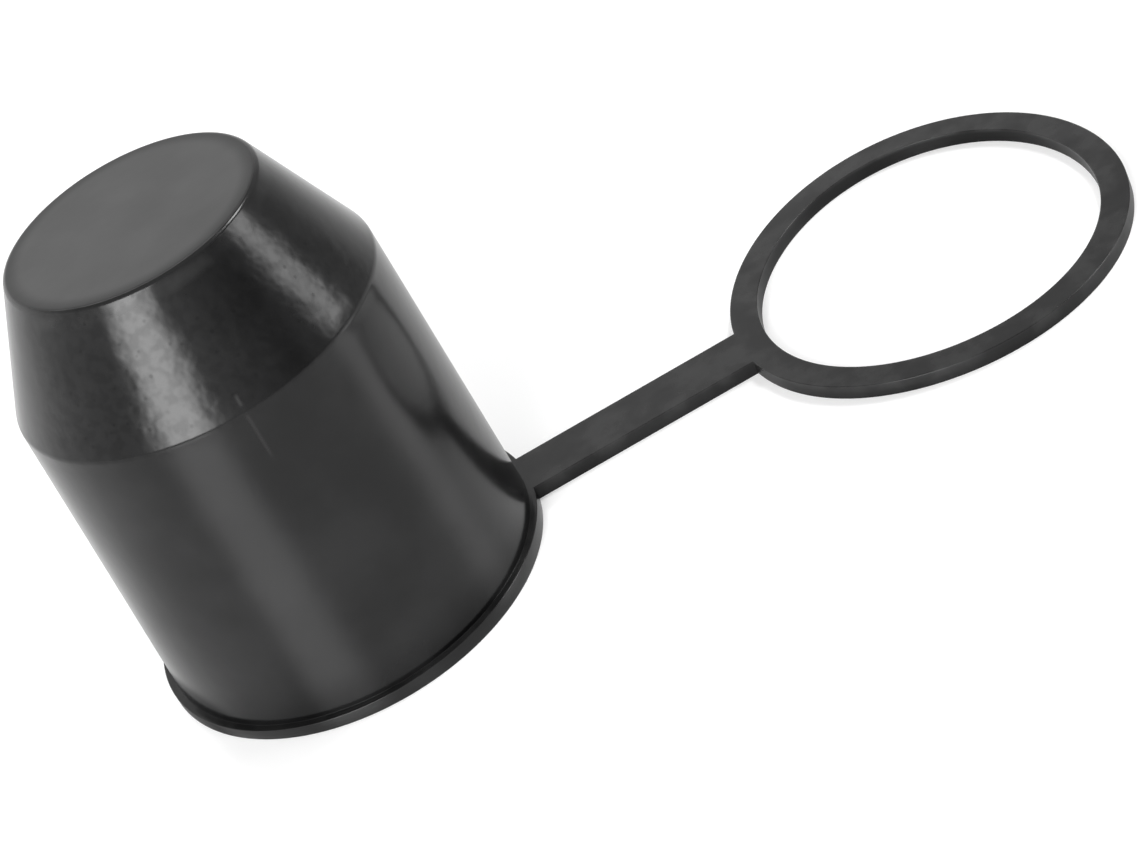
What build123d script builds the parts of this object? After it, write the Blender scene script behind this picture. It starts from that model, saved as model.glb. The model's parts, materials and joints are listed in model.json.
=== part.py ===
from build123d import *
import math
import os

# Tow ball cover: a hollow cap that slips over the ball of a tow bar. A flat
# strap and ring, moulded on with it, hang on the ball's neck and keep it from
# getting lost. Millimetres, +Z up, origin at the middle of the cap's mouth on
# its lower face, +X along the strap to the ring.

# What the cover fits
ball_diameter = 50.0
ball_clearance = 0.55       # from the ball to the cap's inside, level with the shoulder
ring_clearance = 2.05       # from the ball to the ring's inside, all round

# Cap: a drafted wall up to a shoulder, then a cone, then a flat top
cap_wall = 2.2
wall_height = 50.9          # from the mouth up to the shoulder
wall_draft = 1.9            # degrees that the wall leans in
cone_height = 19.1
cone_lean = 24.4            # degrees that the cone leans in
top_edge_radius = 1.2
shoulder_radius = 2.0
inner_edge_radius = 0.8     # inside the cap, at the shoulder and round the top

# Rim, strap and ring: flat, and all of one thickness
plate_thickness = 2.25
rim_overhang = 1.05         # how far the rim stands out beyond the wall's foot
strap_length = 36.7         # free length from the rim to the ring
strap_width = 9.0
ring_band = 4.4             # radial width of the ring
plate_edge_break = 0.15     # bevel along the upper edges of all three

# Sizes that follow from them
draft = math.radians(wall_draft)
lean = math.radians(cone_lean)
cap_height = wall_height + cone_height
shoulder_outer = ball_diameter / 2 + ball_clearance + cap_wall / math.cos(draft)
foot_outer = shoulder_outer + wall_height * math.tan(draft)
rim_outer = foot_outer + rim_overhang
ring_inner = ball_diameter / 2 + ring_clearance
ring_outer = ring_inner + ring_band
ring_x = rim_outer + strap_length + ring_outer
seat_in_wall = foot_outer - cap_wall / 2       # rim and strap start inside the wall
seat_in_ring = ring_x - ring_inner - ring_band / 2


def cap_outline(inset, shoulder_round, top_round):
    """Half of the cap's outline as a face, drawn this far inside the outer face, corners rounded."""
    mouth_r = foot_outer - inset / math.cos(draft)
    cone_r = shoulder_outer - inset / math.cos(lean)     # on the cone's line, level with the shoulder
    top_z = cap_height - inset
    top_r = cone_r - (top_z - wall_height) * math.tan(lean)
    # the wall's line and the cone's line cross at the corner
    cone_foot_r = cone_r + wall_height * math.tan(lean)
    corner_z = (cone_foot_r - mouth_r) / (math.tan(lean) - math.tan(draft))
    corner_r = mouth_r - corner_z * math.tan(draft)
    with BuildSketch(Plane.XZ) as outline:
        with BuildLine():
            FilletPolyline(
                (mouth_r, 0),
                (corner_r, corner_z),
                (top_r, top_z),
                (0, top_z),
                radius=[shoulder_round, top_round],
            )
            Polyline((0, top_z), (0, 0), (mouth_r, 0))
        make_face()
    return outline.sketch


def make_cap():
    """Two outlines a wall apart, turned about the axis: the outside, less the hollow."""
    outside = revolve(cap_outline(0, shoulder_radius, top_edge_radius), Axis.Z)
    hollow = revolve(cap_outline(cap_wall, inner_edge_radius, inner_edge_radius), Axis.Z)
    return outside - hollow


def make_rim():
    """A band turned round the wall's foot, with its upper outer edge bevelled."""
    with BuildPart() as rim:
        with BuildSketch(Plane.XZ) as section:
            with Locations((seat_in_wall, 0)):
                Rectangle(rim_outer - seat_in_wall, plate_thickness, align=(Align.MIN, Align.MIN))
            chamfer(section.vertices().group_by(Axis.Y)[-1].sort_by(Axis.X)[-1], plate_edge_break)
        revolve(axis=Axis.Z)
    return rim.part


def make_strap():
    """A flat section with bevelled upper edges, run from inside the wall to inside the ring."""
    with BuildPart() as strap:
        with BuildSketch(Plane.YZ.offset(seat_in_wall)) as section:
            Rectangle(strap_width, plate_thickness, align=(Align.CENTER, Align.MIN))
            chamfer(section.vertices().group_by(Axis.Y)[-1], plate_edge_break)
        extrude(amount=seat_in_ring - seat_in_wall)
    return strap.part


def make_ring():
    """A flat section like the strap's, turned round the ring's own axis."""
    with BuildPart() as ring:
        with BuildSketch(Plane.XZ) as section:
            with Locations((ring_inner, 0)):
                Rectangle(ring_band, plate_thickness, align=(Align.MIN, Align.MIN))
            chamfer(section.vertices().group_by(Axis.Y)[-1], plate_edge_break)
        revolve(axis=Axis.Z)
    return Pos(ring_x, 0, 0) * ring.part


cover = make_cap() + make_rim() + make_strap() + make_ring()
cover.label = "tow_ball_cover"

os.makedirs("parts", exist_ok=True)
export_step(cover, "parts/tow_ball_cover.step")
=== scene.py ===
import json
from math import acos, cos, pi, radians, sin, tan

import bmesh
import bpy
import numpy as np
from bpy.props import FloatProperty, FloatVectorProperty, IntProperty, PointerProperty
from mathutils import Matrix, Vector


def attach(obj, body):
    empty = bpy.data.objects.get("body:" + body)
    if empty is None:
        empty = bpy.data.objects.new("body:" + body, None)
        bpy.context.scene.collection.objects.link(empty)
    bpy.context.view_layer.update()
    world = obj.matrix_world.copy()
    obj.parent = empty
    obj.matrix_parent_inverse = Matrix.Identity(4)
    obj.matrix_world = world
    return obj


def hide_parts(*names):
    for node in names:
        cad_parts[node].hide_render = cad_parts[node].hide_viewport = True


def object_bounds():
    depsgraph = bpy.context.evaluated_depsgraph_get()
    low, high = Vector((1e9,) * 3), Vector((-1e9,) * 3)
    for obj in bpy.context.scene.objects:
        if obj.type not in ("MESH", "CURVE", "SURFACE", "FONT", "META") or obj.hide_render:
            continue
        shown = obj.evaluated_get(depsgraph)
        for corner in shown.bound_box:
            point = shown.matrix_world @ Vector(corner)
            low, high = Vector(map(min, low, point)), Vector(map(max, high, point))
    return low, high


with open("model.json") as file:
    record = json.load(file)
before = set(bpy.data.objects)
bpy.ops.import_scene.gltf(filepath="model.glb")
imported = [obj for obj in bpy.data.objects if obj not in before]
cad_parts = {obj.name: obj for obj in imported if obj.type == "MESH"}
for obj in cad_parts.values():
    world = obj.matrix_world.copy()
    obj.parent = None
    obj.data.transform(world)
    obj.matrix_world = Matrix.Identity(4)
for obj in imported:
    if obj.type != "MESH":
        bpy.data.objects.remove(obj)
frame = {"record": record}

bl_info = {
    "name": "Tow Ball Cover",
    "version": (1, 0, 0),
    "blender": (4, 5, 0),
    "location": "3D View > Sidebar > Cover",
    "description": "Moulds a tow ball cover with its strap and ring, and sets up a studio round it",
    "category": "Add Mesh",
}

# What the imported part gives: its box, and the place and hole of its ring
CAD_LOW, CAD_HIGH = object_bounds()
NECK_RING = next(m for m in frame["record"]["mounts"] if m["name"] == "neck_ring")
NODE = "tow_ball_cover"
BODY = "root"

MILLIMETRE = 0.001
WHITE = (1, 1, 1, 1)

# Points on the straight runs and on the roundings of each profile, in the order of its corners
OUTER_RUNS, OUTER_ARCS = (2, 26, 18, 12), (6, 12, 14)
INNER_RUNS, INNER_ARCS = (5, 18, 12, 10), (6, 8, 10)
RING_RUNS, RING_ARCS = (8, 6, 8), (6, 8)

# Levels in each rounded edge of the plate, and steps across and along the strap
EDGE_LEVELS = 7
STRAP_ACROSS, STRAP_ALONG = 16, 40

# Points closer than this are one point, and edges that bend by more than this stay sharp
SAME_POINT = 0.001 * MILLIMETRE
SHARP_ANGLE = radians(35)

# The most that d d (1 - d) comes to for d from 0 to 1
HUMP_PEAK = 4 / 27

# The sensor in millimetres, as lenses are given, and the nearest that the camera sees
SENSOR_WIDTH = 36
CLIP_START = 10 * MILLIMETRE


def millimetres(*values):
    """Lengths given in millimetres, in metres."""
    return tuple(value * MILLIMETRE for value in values)


def length(name, description, default):
    """A length in metres, shown in the scene's unit."""
    return FloatProperty(name=name, description=description, default=default, min=0.0, precision=5,
                         unit="LENGTH", subtype="DISTANCE")


def angle(name, description, degrees):
    """An angle given in degrees and kept in radians."""
    return FloatProperty(name=name, description=description, default=radians(degrees), subtype="ANGLE")


def number(name, description, default):
    """A plain number from zero up."""
    return FloatProperty(name=name, description=description, default=default, min=0.0, precision=4)


def colour(name, description, default):
    """A colour in scene linear values."""
    return FloatVectorProperty(name=name, description=description, default=default, min=0.0, max=1.0,
                               size=3, subtype="COLOR")


def place(name, description, default):
    """A place in metres, with as many coordinates as the default."""
    return FloatVectorProperty(name=name, description=description, default=default, size=len(default),
                               precision=5, unit="LENGTH", subtype="TRANSLATION")


class CoverShape(bpy.types.PropertyGroup):
    """Sizes of the moulding."""

    rim_radius: length("Rim radius", "From the cap's axis to the outside of the rim", -CAD_LOW.x)
    cap_height: length("Cap height", "From the lower face to the flat top", CAD_HIGH.z)
    ring_radius: length("Ring radius", "Outside radius of the ring", CAD_HIGH.y)
    ring_hole: length("Ring hole", "Radius of the ring's hole", NECK_RING["dims"]["r_mm"] * MILLIMETRE)
    ring_centre: length("Ring centre", "From the cap's axis to the ring's", NECK_RING["pos_m"][0])
    wall: length("Wall", "Thickness of the cap's wall", 2.2 * MILLIMETRE)
    wall_height: length("Shoulder height", "From the lower face up to the shoulder", 50.9 * MILLIMETRE)
    wall_draft: angle("Wall draft", "Lean of the wall below the shoulder", 1.9)
    cone_lean: angle("Cone lean", "Lean of the cone above the shoulder", 24.4)
    rim_overhang: length("Rim overhang", "How far the rim stands out beyond the wall",
                         1.05 * MILLIMETRE)
    plate: length("Plate", "Thickness of the rim, the strap and the ring", 2.25 * MILLIMETRE)
    strap_width: length("Strap width", "Width of the strap", 9.0 * MILLIMETRE)
    top_edge: length("Top edge", "Rounding round the flat top", 1.0 * MILLIMETRE)
    shoulder_edge: length("Shoulder edge", "Rounding at the shoulder", 2.0 * MILLIMETRE)
    inner_edge: length("Inner edge", "Rounding inside the cap", 0.8 * MILLIMETRE)
    plate_edge: length("Plate edge", "Rounding of the upper edges of rim, strap and ring",
                       0.1 * MILLIMETRE)
    lower_edge: length("Lower edge", "Rounding of the edges round the lower face", 0.03 * MILLIMETRE)
    foot_fillet: length("Foot fillet", "Rounding in the corner between wall and rim", 0.03 * MILLIMETRE)
    rim_thin: length("Rim thinning", "How much thinner the rim is on its thin side", 0.55 * MILLIMETRE)
    thin_turn: angle("Thin side", "Direction of the rim's thin side, round from the strap's", -150.0)
    thin_reach: angle("Thin reach", "How far round from its thin side the rim is thinner", 120.0)
    thin_rise: length("Thin rise", "How far up the wall the thinning draws it down", 9.0 * MILLIMETRE)
    ring_oval: length("Ring oval", "How far the soft ring is drawn out into an oval", 0.38 * MILLIMETRE)
    oval_turn: angle("Oval turn", "Direction in which the ring is drawn out, round from the strap's",
                     56.8)
    ring_lobes: length("Ring lobes", "How far the soft ring is drawn out at three sides",
                       0.33 * MILLIMETRE)
    lobe_turn: angle("Lobe turn", "Direction of the first of the three sides, round from the strap's",
                     74.4)
    around: IntProperty(name="Points around", description="Points round the cap and round the ring",
                        default=344, min=24)


class CoverFinish(bpy.types.PropertyGroup):
    """Look of the plastic."""

    pigment: colour("Pigment", "Colour of the plastic", (0.0022, 0.0022, 0.0023))
    bloom: colour("Bloom", "Colour of the faint paler patches", (0.0085, 0.0085, 0.0087))
    patch_size: length("Patch size", "Width of the faint paler patches", 16.0 * MILLIMETRE)
    # The scuff colour goes on rubbed places and also on the painted highlight just below the cone's top
    # edge.
    scuff_and_highlight: colour("Scuff", "Colour where the plastic is rubbed", (0.034, 0.034, 0.034))
    blotch_size: length("Blotch size", "Width of the blotches in the rubbed places", 5.0 * MILLIMETRE)
    blotch_least: number("Least rubbed", "Share of the wear that is left between the blotches", 0.3)
    top_tone: colour("Top tone", "Colour of the dull flat top", (0.043, 0.043, 0.043))
    top_bloom: colour("Top bloom", "Colour of the paler patches on the flat top", (0.056, 0.056, 0.056))
    cloud_size: length("Cloud size", "Width of the paler patches on the flat top", 11.0 * MILLIMETRE)
    top_left: number("Top tone at the edge", "Share of the top's own tone that is left at its edge",
                     0.2)
    gloss: number("Roughness", "Roughness of the moulded skin", 0.19)
    gloss_spread: number("Roughness spread", "How far the roughness wanders", 0.08)
    top_gloss: number("Top roughness", "Roughness of the flat top", 0.4)
    density: number("Refractive index", "How strongly the skin mirrors the room", 1.375)
    shine: number("Shine", "Share of the mirroring, where 0.5 is all that the index gives", 0.5)
    wave_size: length("Wave size", "Width of the slow waves in the skin", 6.0 * MILLIMETRE)
    wave_height: length("Wave height", "Height of the slow waves in the cone's skin", 0.16 * MILLIMETRE)
    ripple_size: length("Ripple size", "Width of the ripples in the skin", 1.8 * MILLIMETRE)
    ripple_height: length("Ripple height", "Height of the ripples in the cone's skin",
                          0.045 * MILLIMETRE)
    calm: number("Calm", "Share of the waves and ripples that is left on the rest of the skin", 0.2)
    mottle_size: length("Mottle size", "Width of the mottles in the cone's shine", 1.5 * MILLIMETRE)
    mottle: number("Mottle", "Share of the cone's shine that the mottles take away", 0.17)
    pit_spacing: length("Pit spacing", "From one dull pit in the cone's skin to the next",
                        1.9 * MILLIMETRE)
    pit: number("Pits", "Share of the cone's shine that the dull pits take away", 0.22)
    # Painted shade: the wall's foot loses shine where it mirrors the floor beside the rim, standing in
    # for the contact shadow there.
    foot_shade: number("Dull foot", "Share of the shine that is lost at the wall's foot", 0.4)
    foot_reach: length("Foot reach", "Height at which the wall has its full shine again",
                       9.0 * MILLIMETRE)
    # Painted shade: the sides of strap and ring lose shine where they mirror the floor close beside
    # them, standing in for its contact shadow.
    edge_shade: number("Dull edges", "Share of the shine that is lost on the sides of strap and ring",
                      0.38)
    edge_gloss: number("Edge roughness", "Roughness added on the sides of strap and ring", 0.2)
    wear_reach: length("Wear reach", "How far in from their edges strap and ring are rubbed",
                       0.9 * MILLIMETRE)
    wear_flat: number("Wear of the flats", "How rubbed the upper faces of strap and ring are", 0.66)
    wear_rim: number("Wear of the rim", "How rubbed the upper face of the rim is", 0.35)
    # Painted highlight, not rubbing: a paler band on the cone just below the top edge, standing in for a
    # reflection there.
    cone_highlight: number("Wear of the cone", "How rubbed the cone is just below the top edge", 0.38)
    highlight_reach: length("Cone wear reach", "How far down from the top the cone is rubbed",
                       2.2 * MILLIMETRE)
    wear_inside: number("Wear inside", "How rubbed the cap's inside is", 0.9)
    mark_place: length("Mark place", "From the middle of the front to the mould mark", 1.3 * MILLIMETRE)
    mark_width: length("Mark width", "Half width of the faint mould mark", 0.4 * MILLIMETRE)
    mark_line: number("Mark line", "How pale the mark's line below the shoulder is", 0.3)
    mark_dash: number("Mark dash", "How pale the mark's dash above the shoulder is", 0.6)


class CoverStage(bpy.types.PropertyGroup):
    """Floor, light and camera."""

    floor_size: length("Floor size", "Side of the square floor", 6.0)
    floor_drop: length("Floor drop", "How far the floor lies below the lower face", 0.1 * MILLIMETRE)
    floor_colour: colour("Floor colour", "Colour of the floor", (0.86, 0.86, 0.86))
    floor_gloss: number("Floor roughness", "Roughness of the floor's sheen", 0.16)
    floor_density: number("Floor index", "How strongly the floor's sheen mirrors the room", 1.85)
    floor_lift: number("Floor lift", "Added to the floor where it is seen, so that it reads as white",
                       0.3)
    floor_mirror: number("Mirrored lift", "Share of the floor lift that is left in mirror images",
                         0.667)
    # A painted shadow on the floor, seen only in mirror images: a dark patch beside the rim, away from
    # the strap
    shade_centre: place("Shade centre", "Middle of the dark patch that the cap mirrors low down on the "
                        "side away from the strap", millimetres(-15.8, -2.8))
    shade_radius: length("Shade radius", "Radius of the dark patch", 16.6 * MILLIMETRE)
    shade_fade: length("Shade fade", "How far out from its radius the dark patch fades",
                       2.2 * MILLIMETRE)
    shade_depth: number("Shade depth", "Share of the floor's light that the dark patch takes away", 0.7)
    clear_radius: length("Clear radius", "Radius of the clear round under the cap's mouth",
                         25.0 * MILLIMETRE)
    clear_gap: length("Clear gap", "Distance from the moulding within which the floor is clear",
                      0.15 * MILLIMETRE)
    room_light: number("Room light", "Brightness of the room's brightest side", 1.5)
    room_shares: FloatVectorProperty(
        name="Room shares", description="Share of the room light at the back, back left, left, "
        "front left, front, front right, right and back right", size=8, min=0.0, max=1.0,
        default=(0.9, 1.0, 0.8, 0.75, 0.7, 0.18, 0.44, 0.34))
    room_dark: number("Room dark", "Brightness of the ceiling", 0.2)
    light_top: angle("Light top", "Height up to which the room is at its brightest", 20.0)
    ceiling: angle("Ceiling", "Height above which the room is dark", 58.0)
    box_distance: length("Box distance", "From the point that the softboxes face to each of them", 0.9)
    box_aim: length("Box aim", "Height of that point on the cap's axis", 60.0 * MILLIMETRE)
    front_azimuth: angle("Front box azimuth", "Direction of the front softbox, round from the front",
                         -31.0)
    front_elevation: angle("Front box elevation", "Height of the front softbox above the horizon", 22.0)
    front_width: angle("Front box width", "Width of the front softbox as seen from the cap", 43.0)
    front_height: angle("Front box height", "Height of the front softbox as seen from the cap", 36.0)
    front_brightness: number("Front box brightness", "Brightness of the front softbox", 11.6)
    front_core: number("Front box core", "Share of the front softbox's width that glows evenly", 0.25)
    side_azimuth: angle("Side box azimuth", "Direction of the side softbox, round from the front", 76.5)
    side_elevation: angle("Side box elevation", "Height of the side softbox above the horizon", 17.5)
    side_width: angle("Side box width", "Width of the side softbox as seen from the cap", 30.0)
    side_height: angle("Side box height", "Height of the side softbox as seen from the cap", 23.0)
    side_brightness: number("Side box brightness", "Brightness of the side softbox", 6.6)
    side_core: number("Side box core", "Share of the side softbox's width that glows evenly", 0.1)
    high_azimuth: angle("High box azimuth", "Direction of the high softbox, round from the front",
                        105.0)
    high_elevation: angle("High box elevation", "Height of the high softbox above the horizon", 49.0)
    high_width: angle("High box width", "Width of the high softbox as seen from the cap", 22.0)
    high_height: angle("High box height", "Height of the high softbox as seen from the cap", 14.0)
    high_brightness: number("High box brightness", "Brightness of the high softbox", 17.0)
    high_core: number("High box core", "Share of the high softbox's width that glows evenly", 0.5)
    camera_azimuth: angle("Camera azimuth", "Direction of the camera, round from the front", -3.05)
    camera_elevation: angle("Camera elevation", "Height of the camera above the horizon", 33.559)
    camera_roll: angle("Camera roll", "Turn of the camera about its own axis", -28.156)
    camera_distance: length("Camera distance", "From the camera to the point it looks at",
                            438.304 * MILLIMETRE)
    camera_target: place("Camera target", "The point that the camera looks at",
                         millimetres(39.209, 0.0, 5.257))
    camera_lens: number("Lens", "Focal length in millimetres", 94.077)


# Curves


def eased(count):
    """count steps from 0 up to but not including 1, close together at both ends: (1 - cos(pi t)) / 2."""
    return (1 - np.cos(pi * np.arange(count) / count)) / 2


def rounded_profile(corners, radii, per_run, per_arc):
    """Points along straight runs between the corners, each inner corner rounded by a tangent arc.

    An arc of radius R at a corner of half angle h has its centre R / sin(h) along the bisector and
    meets the runs R / tan(h) from the corner. Points along it turn from the first radius to the last
    at an even rate. The points on a run are eased, so they lie close together beside the arcs.
    """
    corners = np.asarray(corners, float)
    start = corners[0]
    pieces = []
    for corner, following, radius, run, arc in zip(corners[1:-1], corners[2:], radii, per_run, per_arc):
        to_start = (start - corner) / np.linalg.norm(start - corner)
        to_next = (following - corner) / np.linalg.norm(following - corner)
        half = acos(to_start @ to_next) / 2
        bisector = (to_start + to_next) / np.linalg.norm(to_start + to_next)
        centre = corner + bisector * radius / sin(half)
        first = corner + to_start * radius / tan(half)
        last = corner + to_next * radius / tan(half)
        turn = pi - 2 * half
        t = np.arange(arc)[:, None] / arc
        pieces.append(start + (first - start) * eased(run)[:, None])
        pieces.append(centre + (np.sin((1 - t) * turn) * (first - centre)
                                + np.sin(t * turn) * (last - centre)) / sin(turn))
        start = last
    pieces.append(start + (corners[-1] - start) * eased(per_run[-1])[:, None])
    pieces.append(corners[-1:])
    return np.vstack(pieces)


def circle_angles(half_gap, around, across):
    """Angles once round a circle: across of them in the gap about 0, and around in the rest.

    In the gap the angle is half_gap * sin(s pi / 2) for s from -1 to 1, so the points crowd at its ends.
    """
    half_gap = np.asarray(half_gap, float)[..., None]
    s = -1 + 2 * np.arange(across) / across
    t = np.arange(around) / around
    gap = half_gap * np.sin(s * pi / 2)
    rest = half_gap + (2 * pi - 2 * half_gap) * t
    return np.concatenate([gap, rest], axis=-1)


def wall_radius(shape, height):
    """The wall's outside radius at this height: that of its foot less height * tan(draft)."""
    return shape.rim_radius - shape.rim_overhang - height * tan(shape.wall_draft)


def top_radius(shape):
    """The flat top's radius up to its edge: the shoulder's less the cone's height * tan(lean)."""
    cone_height = shape.cap_height - shape.wall_height
    return wall_radius(shape, shape.wall_height) - cone_height * tan(shape.cone_lean)


def cap_profiles(shape, plate):
    """The cap's outer and inner skins as (radius, height) profiles, from the plate's edge to the axis.

    The outer one crosses the rim's shelf, climbs the drafted wall to the shoulder and the cone to the
    top. The inner one lies a wall's thickness inside it, so each of its lines is moved in by the
    thickness, square to itself, and its corners are where the moved lines cross.
    """
    draft, lean = tan(shape.wall_draft), tan(shape.cone_lean)
    shoulder = wall_radius(shape, shape.wall_height)
    outer = rounded_profile(
        [(plate.rim[-1], shape.plate),
         (wall_radius(shape, shape.plate), shape.plate),
         (shoulder, shape.wall_height),
         (top_radius(shape), shape.cap_height),
         (0, shape.cap_height)],
        [shape.foot_fillet, shape.shoulder_edge, shape.top_edge], OUTER_RUNS, OUTER_ARCS)
    mouth = wall_radius(shape, 0) - shape.wall / cos(shape.wall_draft)
    cone_foot = shoulder + shape.wall_height * lean - shape.wall / cos(shape.cone_lean)
    inner_shoulder = (cone_foot - mouth) / (lean - draft)
    ceiling = shape.cap_height - shape.wall
    inner = rounded_profile(
        [(plate.rim[0], 0),
         (mouth, 0),
         (mouth - inner_shoulder * draft, inner_shoulder),
         (cone_foot - ceiling * lean, ceiling),
         (0, ceiling)],
        [shape.lower_edge, shape.inner_edge, shape.inner_edge], INNER_RUNS, INNER_ARCS)
    return outer, inner


def ring_profile(shape, plate):
    """The ring's section as (radius, height): from the lower edge in, up the hole and out again."""
    return rounded_profile(
        [(plate.ring[0], 0),
         (shape.ring_hole, 0),
         (shape.ring_hole, shape.plate),
         (plate.ring[-1], shape.plate)],
        [shape.lower_edge, shape.plate_edge], RING_RUNS, RING_ARCS)


# Surfaces: each is an array of rows by columns of points


def turned(profile, angles, centre_x, facing):
    """A profile of (radius, height) points turned about a vertical axis at centre_x.

    The point at angle a is (centre_x + facing * radius * cos(a), facing * radius * sin(a), height).
    """
    radius, height = profile[:, :1], profile[:, 1:]
    return np.stack(np.broadcast_arrays(centre_x + facing * radius * np.cos(angles),
                                        facing * radius * np.sin(angles), height), axis=-1)


def edge_offset(height, radius, reach):
    """How far a rounded upper edge has drawn in at each height: radius - sqrt(radius^2 - rise^2)."""
    rise = np.clip(height - (reach - radius), 0, radius)
    return radius - np.sqrt(np.maximum(radius ** 2 - rise ** 2, 0))


class Plate:
    """The outline shared by the rim, the strap and the ring, level by level from the lower face up.

    Each level is the union of three shapes: the rim's disc, the strap's strip and the ring's disc.
    Rounded edges draw the three in near the bottom and the top. The strip leaves a disc of radius R
    at the angle asin(w / R), where w is half the strip's width there.
    """

    def __init__(self, shape):
        quarter = np.linspace(0, pi / 2, EDGE_LEVELS)
        top = shape.plate
        low = shape.lower_edge * (1 - np.cos(quarter))
        self.height = np.concatenate([low, top - shape.plate_edge * (1 - np.sin(quarter))])
        edge_in = (edge_offset(top - self.height, shape.lower_edge, top)
                   + edge_offset(self.height, shape.plate_edge, top))
        self.rim = shape.rim_radius - edge_in
        self.ring = shape.ring_radius - edge_in
        self.half_width = shape.strap_width / 2 - edge_in
        self.rim_gap = np.arcsin(self.half_width / self.rim)
        self.ring_gap = np.arcsin(self.half_width / self.ring)


def plate_side(plate, ring_centre, around, along):
    """The outer side of rim, strap and ring: each row is the outline at one level, anticlockwise.

    The rim's arc runs from the strap's far edge round to its near edge, then come the near edge, the
    ring's arc and the far edge back. The edges run straight from corner to corner in equal steps.
    """
    t = np.arange(around) / around
    step = np.arange(along) / along
    rim, ring = plate.rim[:, None], plate.ring[:, None]
    rim_gap, ring_gap = plate.rim_gap[:, None], plate.ring_gap[:, None]
    rim_angle = rim_gap + (2 * pi - 2 * rim_gap) * t
    ring_angle = pi + ring_gap + (2 * pi - 2 * ring_gap) * t
    start, end = rim * np.cos(rim_gap), ring_centre - ring * np.cos(ring_gap)
    edge = np.broadcast_to(plate.half_width[:, None], (len(rim), along))
    x = np.concatenate([rim * np.cos(rim_angle), start + (end - start) * step,
                        ring_centre + ring * np.cos(ring_angle), end + (start - end) * step], axis=1)
    y = np.concatenate([rim * np.sin(rim_angle), -edge, ring * np.sin(ring_angle), edge], axis=1)
    return np.stack([x, y, np.broadcast_to(plate.height[:, None], x.shape)], axis=-1)


def strap_face(plate, level, ring_centre, across, along):
    """A flat face of the strap at one level, ruled between an arc of the rim and an arc of the ring.

    Both arcs are followed by the same s from -1 to 1, at the angle gap * sin(s pi / 2), and the
    straight lines that join their points are cut into equal steps.
    """
    s = np.sin(np.linspace(-1, 1, across + 1) * pi / 2)
    step = np.linspace(0, 1, along + 1)[:, None]
    rim_angle, ring_angle = plate.rim_gap[level] * s, plate.ring_gap[level] * s
    start = plate.rim[level] * np.stack([np.cos(rim_angle), np.sin(rim_angle)])
    end = plate.ring[level] * np.stack([-np.cos(ring_angle), np.sin(ring_angle)])
    end[0] += ring_centre
    x, y = (a + (b - a) * step for a, b in zip(start, end))
    return np.stack([x, y, np.full_like(x, plate.height[level])], axis=-1)


def out_of_round(points, shape):
    """The points as they lie when the soft ring is out of round: moved from or towards the ring's axis.

    At the angle a about that axis a point moves out by oval * cos(2 (a - oval turn)) plus
    lobes * cos(3 (a - lobe turn)). The move fades along the strap as t * t * (3 - 2 t), where t runs
    from 0 at the rim to 1 at the ring.
    """
    x, y = points[..., 0], points[..., 1]
    a = np.arctan2(y, x - shape.ring_centre)
    oval = shape.ring_oval * np.cos(2 * (a - shape.oval_turn))
    lobes = shape.ring_lobes * np.cos(3 * (a - shape.lobe_turn))
    strap_end = shape.ring_centre - shape.ring_radius
    t = np.clip((x - shape.rim_radius) / (strap_end - shape.rim_radius), 0, 1)
    out = (oval + lobes) * t * t * (3 - 2 * t)
    return points + np.stack([out * np.cos(a), out * np.sin(a), np.zeros_like(a)], axis=-1)


def thinned_rim(points, shape):
    """The points as they lie when the rim is thinner on one side: its upper face comes down there.

    At the angle a from that side, up to the reach, the face drops by thin * (1 + cos(pi a / reach)) / 2.
    Below the face the drop shrinks with the height, and above it fades up the wall over the rise.
    The cap's inside stays as it is.
    """
    x, y, z = np.moveaxis(points, -1, 0)
    turn = np.arctan2(y, x) - shape.thin_turn
    apart = np.minimum(np.abs(np.arctan2(np.sin(turn), np.cos(turn))), shape.thin_reach)
    drop = shape.rim_thin * (1 + np.cos(pi * apart / shape.thin_reach)) / 2
    above = np.clip(1 - (z - shape.plate) / shape.thin_rise, 0, 1)
    fade = np.where(z < shape.plate, z / shape.plate, above)
    outside = np.hypot(x, y) > wall_radius(shape, z) - shape.wall / 2
    return points - np.stack([np.zeros_like(z), np.zeros_like(z), drop * fade * outside], axis=-1)


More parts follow.
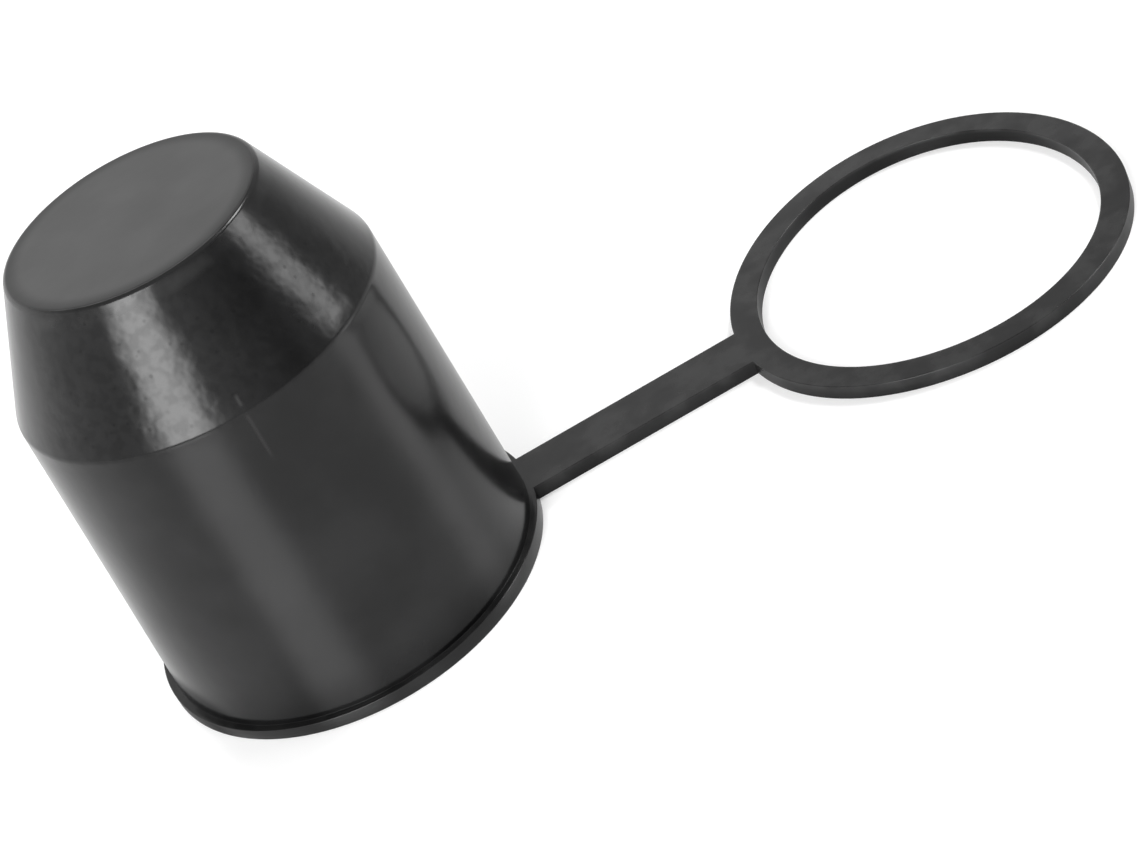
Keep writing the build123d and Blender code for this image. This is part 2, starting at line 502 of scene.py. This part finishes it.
def wear(points, shape, finish):
    """How rubbed each point is from 0 to 1, most along the upper edges of strap and ring, and how pale
    the painted highlight on the cone is.

    With d the distance in from the nearest edge and e the depth below the upper face, strap and ring go
    as 1 - (d + 2 e) / reach or as the flats, whichever is more. That fades in over the strap's first
    reach. The rim's upper face, from the wall's foot out, is rubbed on its own. The cone just below the
    top is not rubbed but gets a painted highlight, a paler band under the top edge: it goes as
    d d (1 - d), with d the depth below the top over the highlight's reach.
    """
    x, y, z = np.moveaxis(points, -1, 0)
    upper = z > shape.plate - shape.plate_edge
    radius = np.hypot(x - shape.ring_centre, y)
    in_ring = np.minimum(shape.ring_radius - radius, radius - shape.ring_hole)
    in_strap = np.where(x < shape.ring_centre - shape.ring_hole, shape.strap_width / 2 - np.abs(y), 0)
    inwards = np.maximum(np.maximum(in_ring, in_strap), 0)
    edges = 1 - (inwards + 2 * np.abs(shape.plate - z)) / finish.wear_reach
    flats = np.where(upper, finish.wear_flat, 0)
    tail = np.maximum(edges, flats) * np.clip((x - shape.rim_radius) / finish.wear_reach, 0, 1)
    level = upper & (z < shape.plate + shape.plate_edge)
    shelf = level & (np.hypot(x, y) > wall_radius(shape, shape.plate))
    rim = np.where(shelf, finish.wear_rim, 0)
    # Painted highlight, not rubbing, on the cone just below the top edge
    depth = np.clip((shape.cap_height - z) / finish.highlight_reach, 0, 1)
    cone = finish.cone_highlight * depth * depth * (1 - depth) / HUMP_PEAK
    return np.maximum(np.maximum(tail, rim), cone)


def wear_inside(points, shape, finish):
    """How rubbed the hollow is by the ball: not at the lower face, fully from a wall's thickness up.

    Between the two it grows with the height.
    """
    return finish.wear_inside * np.clip(points[..., 2] / shape.wall, 0, 1)


# Meshes


def grid_faces(rows, columns, closed):
    """Quads between neighbouring rows and columns, and back to the first column where it is closed."""
    index = np.arange(rows * columns).reshape(rows, columns)
    if closed:
        index = np.column_stack([index, index[:, :1]])
    corners = [index[:-1, :-1], index[:-1, 1:], index[1:, 1:], index[1:, :-1]]
    return np.stack(corners, axis=-1).reshape(-1, 4)


def mesh_of_grids(name, grids):
    """One mesh from (points, closed) grids."""
    points, faces, count = [], [], 0
    for grid, closed in grids:
        rows, columns, _ = grid.shape
        points.append(grid.reshape(-1, 3))
        faces.append(grid_faces(rows, columns, closed) + count)
        count += rows * columns
    mesh = bpy.data.meshes.new(name)
    mesh.from_pydata(np.concatenate(points).tolist(), [], np.concatenate(faces).tolist())
    return mesh


def note(mesh, name, values):
    """Keeps one value per point in the mesh, under this name."""
    layer = mesh.attributes.new(name, "FLOAT", "POINT")
    layer.data.foreach_set("value", np.concatenate([v.ravel() for v in values]).astype(np.float32))


def close_skin(mesh):
    """Merges doubled points, turns every face outwards and keeps true corners sharp."""
    skin = bmesh.new()
    skin.from_mesh(mesh)
    bmesh.ops.remove_doubles(skin, verts=skin.verts, dist=SAME_POINT)
    bmesh.ops.recalc_face_normals(skin, faces=skin.faces)
    open_edges = sum(1 for e in skin.edges if len(e.link_faces) != 2)
    skin.to_mesh(mesh)
    skin.free()
    if open_edges:
        raise RuntimeError(f"{mesh.name} has {open_edges} edges that do not join two faces")
    mesh.shade_smooth()
    mesh.set_sharp_from_angle(angle=SHARP_ANGLE)


def show(name, mesh, material):
    """A new object in the scene with this mesh and finish."""
    piece = bpy.data.objects.new(name, mesh)
    mesh.materials.append(material)
    bpy.context.scene.collection.objects.link(piece)
    return piece


# Finishes


# Noise values over which each pattern goes from none of it to all of it
PATCH_SPAN = 0.35, 0.7
BLOTCH_SPAN = 0.36, 0.66
MOTTLE_SPAN = 0.4, 0.62
CLOUD_SPAN = 0.3, 0.7

# Distances from a pit's middle over which it ends, as shares of the spacing
PIT_SPAN = 0.08, 0.2

# Heights about the flat top over which its roughness and its tone set in
ROUGH_SPAN = millimetres(-0.12, 0)
TONE_SPAN = millimetres(-0.6, -0.2)

# Distances out from the top's edge over which its tone weakens
WEAKER_SPAN = millimetres(-3.0, -0.5)

# Heights about the shoulder over which the cone's unevenness sets in, and the y over which it ends
CONE_SPAN = millimetres(-2, 2)
BACK_SPAN = millimetres(-17, -6)

# Heights over which the line and the dash of the mould mark start and end
LINE_START, LINE_END = millimetres(42, 45), millimetres(50, 51)
DASH_START, DASH_END = millimetres(51.6, 52.2), millimetres(53.0, 53.6)


class Nodes:
    """A node tree with short calls for adding and joining nodes."""

    def __init__(self, owner):
        owner.use_nodes = True
        self.tree = owner.node_tree
        self.tree.nodes.clear()

    def add(self, kind, values=None, **settings):
        """A node with its settings, and its inputs joined to sockets or set to plain values."""
        node = self.tree.nodes.new(kind)
        for name, value in settings.items():
            setattr(node, name, value)
        for key, value in (values or {}).items():
            if isinstance(value, bpy.types.NodeSocket):
                self.tree.links.new(value, node.inputs[key])
            else:
                node.inputs[key].default_value = value
        return node

    def maths(self, operation, *values):
        """A maths node's result."""
        return self.add("ShaderNodeMath", dict(enumerate(values)), operation=operation).outputs[0]

    def length(self, x, y):
        """sqrt(x^2 + y^2)."""
        squares = self.maths("ADD", self.maths("MULTIPLY", x, x), self.maths("MULTIPLY", y, y))
        return self.maths("SQRT", squares)

    def distance(self, where, point):
        """How far this place is from the point."""
        node = self.add("ShaderNodeVectorMath", {0: where, 1: point}, operation="DISTANCE")
        return node.outputs["Value"]

    def ramp(self, value, low, high, to_low=0.0, to_high=1.0):
        """value carried smoothly from low..high to to_low..to_high."""
        return self.add("ShaderNodeMapRange", {"Value": value, "From Min": low, "From Max": high,
                                               "To Min": to_low, "To Max": to_high},
                        interpolation_type="SMOOTHSTEP").outputs["Result"]

    def ramp_about(self, value, level, span, to_low=0.0, to_high=1.0):
        """The same over a span that is given about a level."""
        return self.ramp(value, level + span[0], level + span[1], to_low, to_high)

    def stroke(self, value, start, end, strength):
        """strength between two spans of the value: it rises over the first and falls over the second."""
        return self.maths("MULTIPLY", self.ramp(value, *start, 0.0, strength),
                          self.ramp(value, *end, 1.0, 0.0))

    def noise(self, where, size, detail):
        """Noise from 0 to 1 whose lumps are about size across, with this many finer layers."""
        return self.add("ShaderNodeTexNoise", {"Vector": where, "Scale": 1 / size,
                                               "Detail": detail}).outputs["Fac"]

    def mix(self, share, low, high):
        """A colour: low where share is 0, high where it is 1. Either is a socket or plain values."""
        node = self.add("ShaderNodeMix", {"Factor": share}, data_type="RGBA")
        for name, value in (("A", low), ("B", high)):
            socket = next(s for s in node.inputs if s.name == name and s.type == "RGBA")
            if isinstance(value, bpy.types.NodeSocket):
                self.tree.links.new(value, socket)
            else:
                socket.default_value = (*value, 1)
        return next(s for s in node.outputs if s.type == "RGBA")


def mould_mark(nodes, x, y, z, finish):
    """How pale the mould mark is: a line below the shoulder and a dash above it, on the cap's front."""
    front = nodes.maths("LESS_THAN", y, 0.0)
    beside = nodes.maths("ABSOLUTE", nodes.maths("SUBTRACT", x, finish.mark_place))
    across = nodes.maths("MULTIPLY", nodes.ramp(beside, 0.0, finish.mark_width, 1.0, 0.0), front)
    line = nodes.stroke(z, LINE_START, LINE_END, finish.mark_line)
    dash = nodes.stroke(z, DASH_START, DASH_END, finish.mark_dash)
    return nodes.maths("MULTIPLY", across, nodes.maths("ADD", line, dash))


def moulded_plastic(shape, finish):
    """Soft black plastic: a satin skin with paler patches, rubbed places, a mould mark and a dull top.

    The cone's front is lively, with waves, ripples, mottles and pits, and the rest of the skin is calm.
    A painted highlight lies on the cone just below the top edge, and painted shade takes shine from the
    wall's foot and from the sides of strap and ring.
    """
    material = bpy.data.materials.new("moulded_plastic")
    nodes = Nodes(material)
    where = nodes.add("ShaderNodeTexCoord").outputs["Object"]
    x, y, z = nodes.add("ShaderNodeSeparateXYZ", {"Vector": where}).outputs
    radius = nodes.length(x, y)

    # Where on the moulding: the flat top, the cone's front, the wall's foot, the sides of strap and ring
    flat = nodes.ramp_about(z, shape.cap_height, ROUGH_SPAN)
    weaker = nodes.ramp_about(radius, top_radius(shape), WEAKER_SPAN, 1.0, finish.top_left)
    on_top = nodes.maths("MULTIPLY", nodes.ramp_about(z, shape.cap_height, TONE_SPAN), weaker)
    on_cone = nodes.maths("SUBTRACT", nodes.ramp_about(z, shape.wall_height, CONE_SPAN), flat)
    lively = nodes.maths("MULTIPLY", on_cone, nodes.ramp(y, *BACK_SPAN, 1.0, 0.0))
    # Painted shade at the wall's foot, standing in for the floor's contact shadow that it mirrors
    low = nodes.ramp(z, shape.plate, finish.foot_reach, 1.0, 0.0)
    shaded_foot = nodes.maths("MULTIPLY", low, nodes.maths("LESS_THAN", radius, wall_radius(shape, 0)))
    below = nodes.ramp(z, shape.plate - 2 * shape.plate_edge, shape.plate, 1.0, 0.0)
    on_sides = nodes.maths("MULTIPLY", below, nodes.maths("GREATER_THAN", radius, shape.rim_radius))

    # Tone
    patches = nodes.noise(where, finish.patch_size, detail=4)
    blotches = nodes.ramp(nodes.noise(where, finish.blotch_size, detail=3), *BLOTCH_SPAN)
    clouds = nodes.ramp(nodes.noise(where, finish.cloud_size, detail=3), *CLOUD_SPAN)
    # The attribute holds rubbing on strap, ring and rim and a painted highlight on the cone below the
    # top edge; both are mixed in as the scuff colour.
    worn_and_highlight = nodes.add("ShaderNodeAttribute", attribute_name="wear").outputs["Fac"]
    uneven = nodes.maths("MULTIPLY_ADD", blotches, 1 - finish.blotch_least, finish.blotch_least)
    rubbed = nodes.maths("MULTIPLY", worn_and_highlight, uneven)
    rubbed = nodes.maths("MAXIMUM", rubbed, mould_mark(nodes, x, y, z, finish))
    tone = nodes.mix(nodes.ramp(patches, *PATCH_SPAN), finish.pigment, finish.bloom)
    tone = nodes.mix(rubbed, tone, finish.scuff_and_highlight)
    tone = nodes.mix(on_top, tone, nodes.mix(clouds, finish.top_tone, finish.top_bloom))

    # Roughness
    least = finish.gloss - finish.gloss_spread / 2
    skin = nodes.maths("MULTIPLY_ADD", patches, finish.gloss_spread, least)
    roughness = nodes.maths("MULTIPLY_ADD", flat, finish.top_gloss - finish.gloss, skin)
    roughness = nodes.maths("MULTIPLY_ADD", on_sides, finish.edge_gloss, roughness)

    # Relief
    ripples = nodes.noise(where, finish.ripple_size, detail=1)
    ripples = nodes.maths("MULTIPLY", ripples, finish.ripple_height)
    waves = nodes.noise(where, finish.wave_size, detail=1)
    height = nodes.maths("MULTIPLY_ADD", waves, finish.wave_height, ripples)
    share = nodes.maths("MULTIPLY_ADD", lively, 1 - finish.calm, finish.calm)
    relief = nodes.add("ShaderNodeBump", {"Strength": 1.0, "Distance": 1.0,
                                          "Height": nodes.maths("MULTIPLY", height, share)})

    # Shine: mottles and pits on the cone's front, and painted shade at the wall's foot and on the sides
    # of strap and ring
    mottles = nodes.ramp(nodes.noise(where, finish.mottle_size, detail=1), *MOTTLE_SPAN)
    pits = nodes.add("ShaderNodeTexVoronoi", {"Vector": where, "Scale": 1 / finish.pit_spacing})
    pits = nodes.ramp(pits.outputs["Distance"], *PIT_SPAN, finish.pit, 0.0)
    dull = nodes.maths("MULTIPLY", nodes.maths("MULTIPLY_ADD", mottles, finish.mottle, pits), lively)
    # Painted shade: shine taken from the wall's foot and the sides of strap and ring, where they mirror
    # the floor's contact shadow
    dull = nodes.maths("MULTIPLY_ADD", shaded_foot, finish.foot_shade, dull)
    dull = nodes.maths("MULTIPLY_ADD", on_sides, finish.edge_shade, dull)
    shine = nodes.maths("MULTIPLY_ADD", dull, -finish.shine, finish.shine)

    shader = nodes.add("ShaderNodeBsdfPrincipled", {"Base Color": tone, "Roughness": roughness,
                                                    "IOR": finish.density, "Specular IOR Level": shine,
                                                    "Normal": relief.outputs["Normal"]})
    nodes.add("ShaderNodeOutputMaterial", {"Surface": shader.outputs["BSDF"]})
    return material


def pale_floor(stage):
    """A pale satin floor, lifted to white where it is seen, with its shadows kept.

    In mirror images the lift is smaller, and a painted shadow of the cap lies as a dark patch beside its
    rim.
    The floor is clear from below, under the cap's mouth and close under the moulding, so that light
    reaches the underside.
    """
    material = bpy.data.materials.new("pale_floor")
    nodes = Nodes(material)
    path = nodes.add("ShaderNodeLightPath").outputs
    where = nodes.add("ShaderNodeTexCoord").outputs["Object"]
    mirrored = nodes.maths("MAXIMUM", path["Is Glossy Ray"], path["Is Transmission Ray"])
    # Painted shadow: a dark patch beside the rim that only mirror images see
    patch = nodes.ramp_about(nodes.distance(where, (*stage.shade_centre, 0)), stage.shade_radius,
                             (0, stage.shade_fade), stage.shade_depth, 0.0)
    shade = nodes.maths("MULTIPLY", mirrored, patch)
    seen = nodes.maths("MULTIPLY_ADD", mirrored, stage.floor_mirror, path["Is Camera Ray"])
    lift = nodes.maths("MULTIPLY", nodes.maths("MULTIPLY", seen, stage.floor_lift),
                       nodes.maths("SUBTRACT", 1.0, shade))
    tone = nodes.mix(shade, stage.floor_colour, (0, 0, 0))
    shader = nodes.add("ShaderNodeBsdfPrincipled", {"Base Color": tone, "Roughness": stage.floor_gloss,
                                                    "IOR": stage.floor_density, "Emission Color": WHITE,
                                                    "Emission Strength": lift})
    clear = nodes.add("ShaderNodeBsdfTransparent")
    below = nodes.add("ShaderNodeNewGeometry").outputs["Backfacing"]
    in_mouth = nodes.maths("LESS_THAN", nodes.distance(where, (0, 0, 0)), stage.clear_radius)
    close = nodes.maths("LESS_THAN", path["Ray Length"], stage.clear_gap)
    share = nodes.maths("MAXIMUM", below, nodes.maths("MAXIMUM", in_mouth, close))
    surface = nodes.add("ShaderNodeMixShader", {0: share, 1: shader.outputs[0], 2: clear.outputs[0]})
    nodes.add("ShaderNodeOutputMaterial", {"Surface": surface.outputs[0]})
    return material


# Stage


def direction(azimuth, elevation):
    """The unit vector at this azimuth, round from the front towards the ring, and this elevation."""
    return Vector((sin(azimuth) * cos(elevation), -cos(azimuth) * cos(elevation), sin(elevation)))


def softbox(stage, name):
    """The rectangular lamp of this name, which faces the cap. Its power is brightness * area * pi.

    Its width and height are angles, and its sides measure 2 * distance * tan(angle / 2). It glows
    evenly over the core, a share of its width, and fades smoothly from there to its sides.
    """
    azimuth, elevation, width, height, brightness, core = (
        getattr(stage, f"{name}_{value}")
        for value in ("azimuth", "elevation", "width", "height", "brightness", "core"))
    light = bpy.data.lights.new(f"{name}_softbox", "AREA")
    light.shape = "RECTANGLE"
    light.size = 2 * stage.box_distance * tan(width / 2)
    light.size_y = 2 * stage.box_distance * tan(height / 2)
    light.energy = brightness * light.size * light.size_y * pi
    nodes = Nodes(light)
    where = nodes.add("ShaderNodeNewGeometry").outputs["Parametric"]
    across = nodes.add("ShaderNodeSeparateXYZ", {"Vector": where}).outputs["X"]
    aside = nodes.maths("ABSOLUTE", nodes.maths("SUBTRACT", across, 0.5))
    strength = nodes.ramp(aside, core / 2, 0.5, 1.0, 0.0)
    glow = nodes.add("ShaderNodeEmission", {"Color": WHITE, "Strength": strength})
    nodes.add("ShaderNodeOutputLight", {"Surface": glow.outputs[0]})
    lamp = bpy.data.objects.new(light.name, light)
    away = direction(azimuth, elevation)
    lamp.location = Vector((0, 0, stage.box_aim)) + away * stage.box_distance
    lamp.rotation_mode = "QUATERNION"
    lamp.rotation_quaternion = away.to_track_quat("Z", "Y")
    bpy.context.scene.collection.objects.link(lamp)


def studio_room(stage):
    """A pale room whose brightness changes with the direction and falls off from horizon to ceiling."""
    world = bpy.data.worlds.new("studio_room")
    bpy.context.scene.world = world
    nodes = Nodes(world)
    way = nodes.add("ShaderNodeTexCoord").outputs["Generated"]
    x, y, z = nodes.add("ShaderNodeSeparateXYZ", {"Vector": way}).outputs
    turn = nodes.maths("ARCTAN2", x, nodes.maths("MULTIPLY", y, -1.0))
    round_share = nodes.maths("MULTIPLY_ADD", turn, 1 / (2 * pi), 0.5)
    ramp = nodes.add("ShaderNodeValToRGB", {"Fac": round_share})
    shares = [*stage.room_shares, stage.room_shares[0]]
    stops = ramp.color_ramp.elements
    while len(stops) < len(shares):
        stops.new(0.5)
    for index, (stop, share) in enumerate(zip(stops, shares)):
        stop.position = index / (len(shares) - 1)
        stop.color = (share, share, share, 1)
    bright = nodes.maths("MULTIPLY_ADD", ramp.outputs["Color"], stage.room_light, -stage.room_dark)
    low = nodes.ramp(z, sin(stage.light_top), sin(stage.ceiling), 1.0, 0.0)
    strength = nodes.maths("MULTIPLY_ADD", bright, low, stage.room_dark)
    back = nodes.add("ShaderNodeBackground", {"Color": WHITE, "Strength": strength})
    nodes.add("ShaderNodeOutputWorld", {"Surface": back.outputs[0]})


def aim_camera(stage):
    """A camera at the given angles and distance, rolled about its own axis."""
    data = bpy.data.cameras.new("camera")
    data.sensor_width = SENSOR_WIDTH
    data.lens = stage.camera_lens
    data.clip_start = CLIP_START
    camera = bpy.data.objects.new("camera", data)
    back = direction(stage.camera_azimuth, stage.camera_elevation)
    right = (-back).cross(Vector((0, 0, 1))).normalized()
    upright = Matrix((right, back.cross(right), back)).transposed()
    turn = upright @ Matrix.Rotation(stage.camera_roll, 3, "Z")
    spot = Vector(stage.camera_target) + back * stage.camera_distance
    camera.matrix_world = Matrix.LocRotScale(spot, turn, None)
    bpy.context.scene.collection.objects.link(camera)
    bpy.context.scene.camera = camera


# Operators


class TOWCOVER_OT_mould(bpy.types.Operator):
    """Mould the cap, the strap and the ring as one closed skin"""

    bl_idname = "towcover.mould"
    bl_label = "Mould Cover"

    def execute(self, context):
        shape, finish = context.scene.towcover_shape, context.scene.towcover_finish
        around, centre = shape.around, shape.ring_centre
        plate = Plate(shape)
        outer, inner = cap_profiles(shape, plate)
        section = ring_profile(shape, plate)
        share = section[:, 1] / shape.plate
        ring_gap = plate.ring_gap[0] + (plate.ring_gap[-1] - plate.ring_gap[0]) * share
        hollow = turned(inner, circle_angles(plate.rim_gap[0], around, STRAP_ACROSS), 0, 1)
        grids = [
            (hollow, True),
            (turned(outer, circle_angles(plate.rim_gap[-1], around, STRAP_ACROSS), 0, 1), True),
            (turned(section, circle_angles(ring_gap, around, STRAP_ACROSS), centre, -1), True),
            (plate_side(plate, centre, around, STRAP_ALONG), True),
            (strap_face(plate, -1, centre, STRAP_ACROSS, STRAP_ALONG), False),
            (strap_face(plate, 0, centre, STRAP_ACROSS, STRAP_ALONG), False),
        ]
        # Rubbing per point, with a painted highlight on the cone just below the top edge
        rubbed = [wear_inside(hollow, shape, finish)]
        rubbed += [wear(points, shape, finish) for points, _ in grids[1:]]
        grids = [(out_of_round(thinned_rim(points, shape), shape), closed) for points, closed in grids]
        mesh = mesh_of_grids("cover", grids)
        note(mesh, "wear", rubbed)
        close_skin(mesh)
        cover = show("cover", mesh, moulded_plastic(shape, finish))
        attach(cover, BODY)
        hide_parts(NODE)
        return {"FINISHED"}


class TOWCOVER_OT_stage(bpy.types.Operator):
    """Lay the floor, light the room and aim the camera"""

    bl_idname = "towcover.stage"
    bl_label = "Set Stage"

    def execute(self, context):
        stage = context.scene.towcover_stage
        context.scene.view_settings.view_transform = "Standard"
        side = np.linspace(-stage.floor_size / 2, stage.floor_size / 2, 2)
        x, y = np.meshgrid(side, side)
        ground = np.stack([x, y, np.full_like(x, -stage.floor_drop)], axis=-1)
        floor = show("floor", mesh_of_grids("floor", [(ground, False)]), pale_floor(stage))
        for name in ("front", "side", "high"):
            softbox(stage, name)
        studio_room(stage)
        aim_camera(stage)
        return {"FINISHED"}


class TOWCOVER_PT_panel(bpy.types.Panel):
    """Sidebar panel with the sizes, the finish and the stage"""

    bl_idname = "TOWCOVER_PT_panel"
    bl_label = "Tow Ball Cover"
    bl_space_type = "VIEW_3D"
    bl_region_type = "UI"
    bl_category = "Cover"

    def draw(self, context):
        for owner, operator in ((context.scene.towcover_shape, None),
                                (context.scene.towcover_finish, TOWCOVER_OT_mould.bl_idname),
                                (context.scene.towcover_stage, TOWCOVER_OT_stage.bl_idname)):
            column = self.layout.column(align=True)
            for name in owner.__annotations__:
                column.prop(owner, name)
            if operator:
                self.layout.operator(operator)


CLASSES = (CoverShape, CoverFinish, CoverStage, TOWCOVER_OT_mould, TOWCOVER_OT_stage, TOWCOVER_PT_panel)


def register():
    for cls in CLASSES:
        bpy.utils.register_class(cls)
    bpy.types.Scene.towcover_shape = PointerProperty(type=CoverShape)
    bpy.types.Scene.towcover_finish = PointerProperty(type=CoverFinish)
    bpy.types.Scene.towcover_stage = PointerProperty(type=CoverStage)


def unregister():
    del bpy.types.Scene.towcover_stage
    del bpy.types.Scene.towcover_finish
    del bpy.types.Scene.towcover_shape
    for cls in reversed(CLASSES):
        bpy.utils.unregister_class(cls)


def main():
    """Registers the add-on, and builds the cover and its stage."""
    register()
    bpy.ops.towcover.mould()
    bpy.ops.towcover.stage()


if __name__ == "__main__":
    main()
